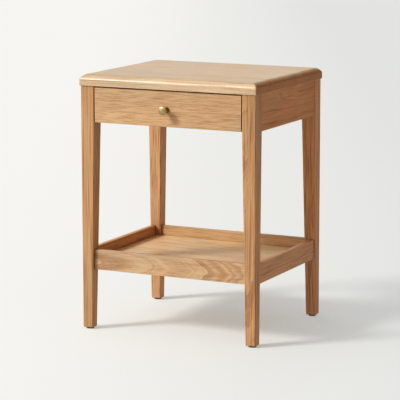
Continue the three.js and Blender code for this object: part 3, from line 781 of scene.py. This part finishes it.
def top_profile(thickness):
    """(inset, height) points up the edge: a rounded foot, an upright face, then a swelling bevel that
    starts steep and flattens out into the top."""
    foot = [(TOP_UNDER - x, TOP_UNDER + y) for x, y in arc((0, 0), TOP_UNDER, -90, 0, 4)]
    bevel = []
    for i in range(BEVEL_STEPS + 1):
        angle = math.radians(90 * i / BEVEL_STEPS)
        across = TOP_BEVEL * math.cos(angle) ** (2 / TOP_SWELL)
        up = TOP_DROP * math.sin(angle) ** (2 / TOP_SWELL)
        bevel.append((TOP_BEVEL - across, thickness - TOP_DROP + up))
    return foot + bevel


def table_top():
    """The top, with the holes for the screws that hold it from below."""
    low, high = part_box("table_top")
    rings = []
    for inset, up in top_profile((high.z - low.z) / MM):
        spans = (low.x + inset * MM, high.x - inset * MM, low.y + inset * MM, high.y - inset * MM)
        radius = TOP_CORNER * (1 - CORNER_LOSS * inset / TOP_BEVEL)
        rings.append(rounded_rectangle(spans, radius * MM, low.z + up * MM, CORNER_STEPS))
    holes = []
    for node in BODY_OF:
        if node.startswith("top_screw") or node.endswith("button_screw"):
            depth = (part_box(node)[1].z - low.z) / MM + SCREW_CLEAR
            holes.append(upward_hole(middle(node), low.z, SCREW_HOLE, depth))
    bm = cut(ring_loft(rings), holes)
    return piece("table_top", "oak", bm, oak("oak_table_top", low, high, "x", **TOP_FIGURE))


table_top()


# ---------- Boards ----------
# The aprons' tint is partly painted shade: darker and redder, for the deep warm shade on the right apron.
APRON = dict(arris=0.8, tint=(0.86, 0.72, 0.59), lines=(2.0, 90.0), streaks=0.5, blush=1.0, gloss=0.33)
RAIL = dict(arris=0.9, lean=(0.03, 0.02), ring=6.5, lines=(2.0, 80.0), streaks=0.6, gloss=0.35)
INSIDE = dict(arris=0.5, heart=(70, 60), lean=(0.02, 0.015), ring=4.5, tint=(1.02, 1.0, 0.98), dull=0.56)
INSIDE_X = ("lower_front_rail", "upper_front_rail", "drawer_back", "left_top_button", "right_top_button")
INSIDE_Y = ("left_drawer_runner", "right_drawer_runner", "left_drawer_kicker", "right_drawer_kicker")
INSIDE_Y += ("left_drawer_guide", "right_drawer_guide", "drawer_left_side", "drawer_right_side")


def board(node, grain, arris, rounder_face=None, **figure):
    """An oak board: its CAD shape, joints and all, with softened arrises. rounder_face is the axis and the
    side of a face whose own arrises are rounder, and their radius."""
    low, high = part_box(node)
    bm = cad_bmesh(node)
    if rounder_face:
        axis, side, radius = rounder_face
        soften(bm, radius, ROUND_SEGMENTS, on_plane(axis, (low, high)[side > 0][axis]))
    soften(bm, arris)
    return piece(node, "oak", bm, oak("oak_" + node, low, high, grain, **figure))


board("left_apron", "y", heart=(60, 90), lean=(0.02, 0.03), ring=5.6, **APRON)
board("right_apron", "y", heart=(48, 30), lean=(-0.02, 0.03), ring=8.0, **APRON)
board("back_apron", "x", heart=(-60, 40), lean=(0.06, 0.02), ring=5.6, **APRON)
board(
    "front_tray_rail", "x", 0.9, heart=(34, -7), lean=(0.16, 0.0), ring=14.0, contrast=1.5,
    tint=(0.95, 1.08, 1.38), lines=(1.8, 50.0), streaks=0.4, blush=0.9,
)
# The back rail's tint is partly painted light: brighter, for light on its inner face where the top and drawer
# shade it.
board("back_tray_rail", "x", heart=(-50, 60), tint=(1.07, 1.22, 1.48), **RAIL)
board("left_tray_rail", "y", heart=(-60, 70), tint=(1.02, 0.97, 0.93), **RAIL)
board("right_tray_rail", "y", heart=(60, -60), tint=(0.90, 0.84, 0.86), **RAIL)
# The panel's tint is partly painted light: brighter and paler, for light and sheen where the top and the
# drawer shade it; its falloff value is painted shade, darker towards the right.
board(
    "tray_panel", "x", 0.4, heart=(160, -190), lean=(0.02, 0.01), ring=7.0, contrast=0.8,
    tint=(1.20, 1.46, 1.88), lines=(2.2, 90.0), streaks=0.5, dull=0.44, gloss=0.6, blush=0.7, drift=0.0006,
)
# Painted shade: the drawer front's falloff value darkens it towards its right end.
board(
    "drawer_front", "x", 0.6, rounder_face=(1, -1, 1.4), heart=(60, -290), lean=(0.01, 0.012), ring=8.5,
    contrast=0.4, tint=(0.89, 0.945, 1.085), lines=(1.1, 44.0), streaks=0.85, drift=0.00035,
)
for names, along in ((INSIDE_X, "x"), (INSIDE_Y, "y"), (("drawer_turn_stop",), "z")):
    for name in names:
        board(name, along, **INSIDE)


# ---------- Drawer bottom ----------
# One ply's thickness and the softened arrises, in millimetres.
PLY = 1.2
PLY_ARRIS = 0.3
PLY_PALE = (0.52, 0.37, 0.21, 1)
PLY_END = ((0.30, 0.17, 0.08, 1), (0.40, 0.25, 0.13, 1))
PLY_FIGURE = dict(heart=(30, 160), lean=(0.0, 0.05), ring=9.0, contrast=0.45, tint=(1.15, 1.3, 1.6))


def plywood(node):
    """Birch plywood: a plain figured face and, on its edges, thin plies that run each way in turn."""
    low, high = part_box(node)
    material = oak("ply_" + node, low, high, "x", **PLY_FIGURE)
    g = Graph(material.node_tree)
    surface = next(n for n in material.node_tree.nodes if n.type == "BSDF_PRINCIPLED").inputs
    face = surface["Base Color"].links[0].from_socket
    point = object_point(g)
    up = g.math("MULTIPLY", g.math("SUBTRACT", g.axes(point)[2], low.z / MM), 1 / PLY)
    ply = g.remap(g.math("PINGPONG", up, 1.0), 0.42, 0.58, smooth=True)
    fibre = g.noise(g.vector("MULTIPLY", point, (2.5, 2.5, 9.0)), 1.0, 3.0, 0.6)
    edge = g.mix(ply, PLY_PALE, g.mix(fibre, *PLY_END))
    upright = g.math("ABSOLUTE", g.axes(g.coordinate("Normal"))[2])
    g.set(surface["Base Color"], g.mix(g.remap(upright, 0.4, 0.7), edge, face))
    bm = cad_bmesh(node)
    soften(bm, PLY_ARRIS)
    return piece(node, "ply", bm, material)


plywood("drawer_bottom")


# ---------- Knob ----------
# In millimetres: across from the axis, and along from the drawer front or, for the arcs of the flare and
# the rim, back from the dome.
KNOB_SOCKET = (2.3, 11.0)
ROSE_RADIUS = 7.0
ROSE_THICK = 2.4
ROSE_ROUND = 0.8
NECK_CENTRE = (8.9, 7.6)
NECK_HOLLOW = 4.4
KNOB_ROUND = 1.4
FLARE_BACK = 5.2
RIM_BACK = 3.2
DOME_DROP = 2.09


def knob():
    """A small turned knob: a flat rose, a waisted neck and a domed head with a soft rim."""
    node = "drawer_knob"
    low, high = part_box(node)
    length = (high.y - low.y) / MM
    radius = (high.x - low.x) / 2 / MM
    bore, depth = KNOB_SOCKET
    rose = arc((ROSE_RADIUS - ROSE_ROUND, ROSE_THICK - ROSE_ROUND), ROSE_ROUND, 0, 90, 4)
    neck = arc(NECK_CENTRE, NECK_HOLLOW, 230, 130, 10)
    flare = arc((radius - KNOB_ROUND, length - FLARE_BACK), KNOB_ROUND, -60, 0, 4)
    rim = arc((radius - KNOB_ROUND, length - RIM_BACK), KNOB_ROUND, 0, 62, 5)
    dome = [(radius * share, length - DOME_DROP * share**2) for share in (0.75, 0.6, 0.45, 0.3, 0.15)]
    socket = [(0, depth), (bore, depth), (bore, 0)]
    profile = [*socket, (ROSE_RADIUS, 0), *rose, *neck, *flare, *rim, *dome, (0, length)]
    at = (middle(node).x, high.y, middle(node).z)
    return piece(node, "brass", turned(profile, at, FORWARD, 72), brass(node, length))


knob()


# ---------- Screws ----------
# A pan-head wood screw, in millimetres.
HEAD_RADIUS = 4.0
HEAD_HEIGHT = 2.4
HEAD_DOME = ((0.55, 0), (0.8, 0.25), (0.94, 0.8), (1.0, 1.5), (1.0, HEAD_HEIGHT))
SHANK_RADIUS = 2.0
PLAIN_SHANK = 2.6
THREAD_PITCH = 1.5
THREAD_DEPTH = 0.42
# Where in a turn the thread starts to rise and where its crest is.
THREAD_RISE = 0.7
THREAD_CREST = 1.1
# Where the thread starts after the head, and how much of the screw past the head has none.
THREAD_START = 3.0
THREADLESS = 6.0
TIP_LENGTH = 3.0
TIP_BLUNT = (0.5, 0.4)
RECESS_REACH = 2.4
RECESS_HALF = 0.45
RECESS_DEPTH = 1.0
SCREW_AXIS = {
    "left_guide_screw": (-1, 0, 0),
    "right_guide_screw": (1, 0, 0),
    "knob_screw": FORWARD,
    "turn_stop_screw": FORWARD,
}


def screw_profile(length):
    """(radius, along) points from the head's middle to the tip."""
    root = SHANK_RADIUS - THREAD_DEPTH
    dome = [(HEAD_RADIUS * share, along) for share, along in HEAD_DOME]
    plain = [(SHANK_RADIUS, HEAD_HEIGHT), (SHANK_RADIUS, HEAD_HEIGHT + PLAIN_SHANK)]
    thread = []
    for i in range(int((length - HEAD_HEIGHT - THREADLESS) / THREAD_PITCH)):
        base = HEAD_HEIGHT + THREAD_START + i * THREAD_PITCH
        thread += [(root, base), (root, base + THREAD_RISE), (SHANK_RADIUS, base + THREAD_CREST)]
    blunt, back = TIP_BLUNT
    tip = [(root, length - TIP_LENGTH), (blunt, length - back), (0, length)]
    return [(0, 0), *dome, *plain, *thread, *tip]


def cross_recess(start, axis):
    """Two cutters that cross each other in a screw's head."""
    cutters = []
    for wide, narrow in ((RECESS_REACH, RECESS_HALF), (RECESS_HALF, RECESS_REACH)):
        size = Vector((wide, narrow, RECESS_DEPTH)) * MM
        slot = box_bmesh(-size, size)
        bmesh.ops.transform(slot, matrix=pointing(start, axis), verts=slot.verts)
        cutters.append(slot)
    return cutters


def screw(node, axis, material):
    """A pan-head wood screw with a cross recess. Its head is at the start of its axis."""
    low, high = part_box(node)
    along = max(range(3), key=lambda a: abs(axis[a]))
    start = middle(node)
    start[along] = (low, high)[axis[along] < 0][along]
    blank = turned(screw_profile((high[along] - low[along]) / MM), start, axis, 28)
    return piece(node, "steel", cut(blank, cross_recess(start, axis)), material)


ZINC = zinc()
for name in BODY_OF:
    if "screw" in name:
        screw(name, SCREW_AXIS.get(name.rstrip("_12"), UP), ZINC)


# ---------- Bumpers ----------
def bumper(node, material):
    """A stamped felt disc with a rounded edge."""
    low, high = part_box(node)
    radius = (high.x - low.x) / 2 / MM
    thick = (high.y - low.y) / MM
    edge = arc((radius - thick / 2, thick / 2), thick / 2, -90, 90, 8)
    bm = turned([(0, 0), *edge, (0, thick)], (middle(node).x, high.y, middle(node).z), FORWARD, 40)
    return piece(node, "felt", bm, material)


FELT = felt()
for side_name, _ in SIDES:
    bumper(f"{side_name}_drawer_bumper", FELT)


# ---------- Camera ----------
AZIMUTH = math.radians(26.29)
ELEVATION = math.radians(9.947)
ROLL = math.radians(-0.10)
DISTANCE = 4.70
AIM_RIGHT = -0.006045
AIM_UP = 0.2938
LENS = 179.3
SENSOR = 36.0
CLIP_END = 200.0


def camera():
    """The camera looks from the front right, a little above, through a long lens."""
    right = Vector((math.cos(AZIMUTH), math.sin(AZIMUTH), 0))
    level_back = Vector((math.sin(AZIMUTH), -math.cos(AZIMUTH), 0))
    back = level_back * math.cos(ELEVATION) + Vector(UP) * math.sin(ELEVATION)
    up = back.cross(right)
    rolled_right = right * math.cos(ROLL) + up * math.sin(ROLL)
    rolled_up = up * math.cos(ROLL) - right * math.sin(ROLL)
    aim = right * AIM_RIGHT + Vector((0, middle("table_top").y, AIM_UP))
    place = Matrix.Translation(aim + back * DISTANCE)
    turn = Matrix((rolled_right, rolled_up, back)).transposed().to_4x4()
    data = bpy.data.cameras.new("camera")
    data.sensor_width = SENSOR
    data.lens = LENS
    data.clip_end = CLIP_END
    made = bpy.data.objects.new("camera", data)
    SCENE.collection.objects.link(made)
    made.matrix_world = place @ turn
    SCENE.camera = made


camera()


# ---------- Floor ----------
FLOOR_HALF = 60.0
PAPER = (0.486, 0.491, 0.480, 1)
# Painted shade: the paper's colour at the right, darker for light that falls off towards the right.
PAPER_SHADED_RIGHT = (0.388, 0.395, 0.384, 1)
PAPER_CLOUD = (0.4, 0.4, 0.39, 1)
# Across the picture, and where the paper and its glow change on the way, in metres.
RIGHTWARD = (0.9, 0.44, 0.0)
PAPER_FROM, PAPER_TO = -0.75, 0.95
GLOW_FROM, GLOW_TO = 0.05, 0.5
# Painted light: the paper glows though it is no lamp, more towards the right, so that the shadows on it stay
# pale; its tint keeps them neutral against the warm light the wood throws down.
GLOW = 0.69
GLOW_RIGHT = 1.4
GLOW_TINT = (0.985, 1.0, 1.03)
# The glow at which the paper keeps its own colour, and the light that falls on it, in the same measure.
GLOW_EVEN = 0.745
LIT = 1.25
# The plain backdrop, which the sky shows too, and how far out the paper turns into it, in metres.
PLAIN = (0.86, 0.86, 0.84, 1)
FADE_FROM, FADE_TO = 9.0, 38.0


def fade_out(g, shaded, place):
    """Far out the paper turns into the plain backdrop, so that no horizon shows."""
    far = g.remap(g.vector("LENGTH", place), FADE_FROM, FADE_TO, smooth=True)
    near = shaded.outputs[0]
    seen = near.links[0].to_socket
    backdrop = g.node("ShaderNodeEmission", {"Color": PLAIN})
    blend = g.node("ShaderNodeMixShader", {0: far, 1: near, 2: backdrop.outputs[0]})
    g.tree.links.new(blend.outputs[0], seen)


def paper_material():
    """Pale studio paper, with painted shade that makes it a little darker towards the right. It glows
    though it is no lamp, painted light that keeps the shadows on it pale and neutral."""
    material, g, surface = shader("floor_paper")
    place = g.coordinate("Object")
    rightward = g.vector("DOT_PRODUCT", place, RIGHTWARD)
    # Painted shade: the paper darkens towards the right.
    painted_shade_rightward = g.remap(rightward, PAPER_FROM, PAPER_TO, smooth=True)
    cloud = g.remap(g.noise(place, 1.5, 2.0), 0.3, 0.7, 0.0, 0.04)
    pale = g.mix(cloud, g.mix(painted_shade_rightward, PAPER, PAPER_SHADED_RIGHT), PAPER_CLOUD)
    # The paper darkens as its glow grows, so that its lit parts stay as they are and only shadows lift.
    glow = g.remap(rightward, GLOW_FROM, GLOW_TO, GLOW, GLOW_RIGHT, smooth=True)
    paper = g.scale(pale, g.math("DIVIDE", LIT + GLOW_EVEN, g.math("ADD", glow, LIT)))
    g.set(surface["Base Color"], paper)
    g.set(surface["Emission Color"], g.vector("MULTIPLY", g.scale(paper, glow), GLOW_TINT))
    surface["Emission Strength"].default_value = 1.0
    g.set(surface["Roughness"], g.remap(g.noise(place, 300.0, 2.0), 0.3, 0.7, 0.85, 0.95))
    surface["Specular IOR Level"].default_value = 0.2
    fade_out(g, surface["Base Color"].node, place)
    return material


def floor():
    """A plain floor that reaches well past the picture."""
    bm = bmesh.new()
    bmesh.ops.create_grid(bm, x_segments=8, y_segments=8, size=FLOOR_HALF)
    mesh = bpy.data.meshes.new("floor")
    bm.to_mesh(mesh)
    bm.free()
    made = bpy.data.objects.new("floor", mesh)
    SCENE.collection.objects.link(made)
    mesh.materials.append(paper_material())


floor()


# ---------- Light ----------
# How bright the sky is where no soft light is.
DIM = 0.10
# Where each soft light comes from, its strength, and how tightly it gathers.
CEILING = ((-0.40, -0.30, 0.85), 0.5, 2.0)
OVERHEAD = ((-0.44, 0.08, 0.90), 0.6, 9.0)
BACKDROP = ((-0.48, 0.87, 0.14), 0.8, 12.0)
WINDOW = ((-0.65, -0.72, 0.22), 0.75, 3.0)
WARM_SIDE = ((1.0, 0.05, 0.03), 0.75, 2.5)
COOL = (1.0, 0.99, 0.97, 1)
WARM = (1.0, 0.66, 0.46, 1)
SUN_ENERGY = 2.6
SUN_WIDTH = math.radians(14)
SUN_COLOUR = (1.0, 0.985, 0.955)
SUN_TRAVEL = (0.58, 0.56, -0.59)


def soft_light(g, direction, towards, strength, sharpness):
    """How bright one soft light is in a direction."""
    facing = g.math("MAXIMUM", g.vector("DOT_PRODUCT", direction, Vector(towards).normalized()), 0.0)
    return g.math("MULTIPLY", g.math("POWER", facing, sharpness), strength)


def sky():
    """Studio fill: a broad soft ceiling, a pale backdrop, a wide window at the front left and a little warm
    light from the right, dim elsewhere. The camera sees it plain."""
    world = bpy.data.worlds.new("studio")
    SCENE.world = world
    world.use_nodes = True
    world.node_tree.nodes.clear()
    g = Graph(world.node_tree)
    direction = g.coordinate("Generated")
    fill = DIM
    for light in (CEILING, OVERHEAD, BACKDROP, WINDOW):
        fill = g.math("ADD", fill, soft_light(g, direction, *light))
    side = soft_light(g, direction, *WARM_SIDE)
    warm = g.node("ShaderNodeBackground", {"Color": WARM, "Strength": side})
    cool = g.node("ShaderNodeBackground", {"Color": COOL, "Strength": fill})
    soft = g.node("ShaderNodeAddShader", {0: warm.outputs[0], 1: cool.outputs[0]})
    plain = g.node("ShaderNodeBackground", {"Color": PLAIN, "Strength": 1.0})
    seen = g.node("ShaderNodeLightPath").outputs["Is Camera Ray"]
    either = g.node("ShaderNodeMixShader", {0: seen, 1: soft.outputs[0], 2: plain.outputs[0]})
    g.tree.links.new(either.outputs[0], g.node("ShaderNodeOutputWorld").inputs[0])


def key_light():
    """One large soft light from the front left, above."""
    data = bpy.data.lights.new("key", "SUN")
    data.energy = SUN_ENERGY
    data.angle = SUN_WIDTH
    data.color = SUN_COLOUR
    made = bpy.data.objects.new("key", data)
    SCENE.collection.objects.link(made)
    made.rotation_euler = Vector(SUN_TRAVEL).to_track_quat("-Z", "Y").to_euler()


sky()
key_light()


# ---------- Exposure ----------
TONE_CURVE = ((0.0, 0.0), (0.05, 0.027), (0.12, 0.08), (0.3, 0.26), (0.6, 0.6), (0.85, 0.88), (1.0, 1.0))


def exposure():
    """A gentle print-like tone curve: shadows a little deeper, lights as they are."""
    view = SCENE.view_settings
    view.view_transform = "Standard"
    view.use_curve_mapping = True
    curve = view.curve_mapping.curves[3]
    curve.points[0].location = TONE_CURVE[0]
    curve.points[-1].location = TONE_CURVE[-1]
    for x, y in TONE_CURVE[1:-1]:
        curve.points.new(x, y)
    view.curve_mapping.update()


exposure()
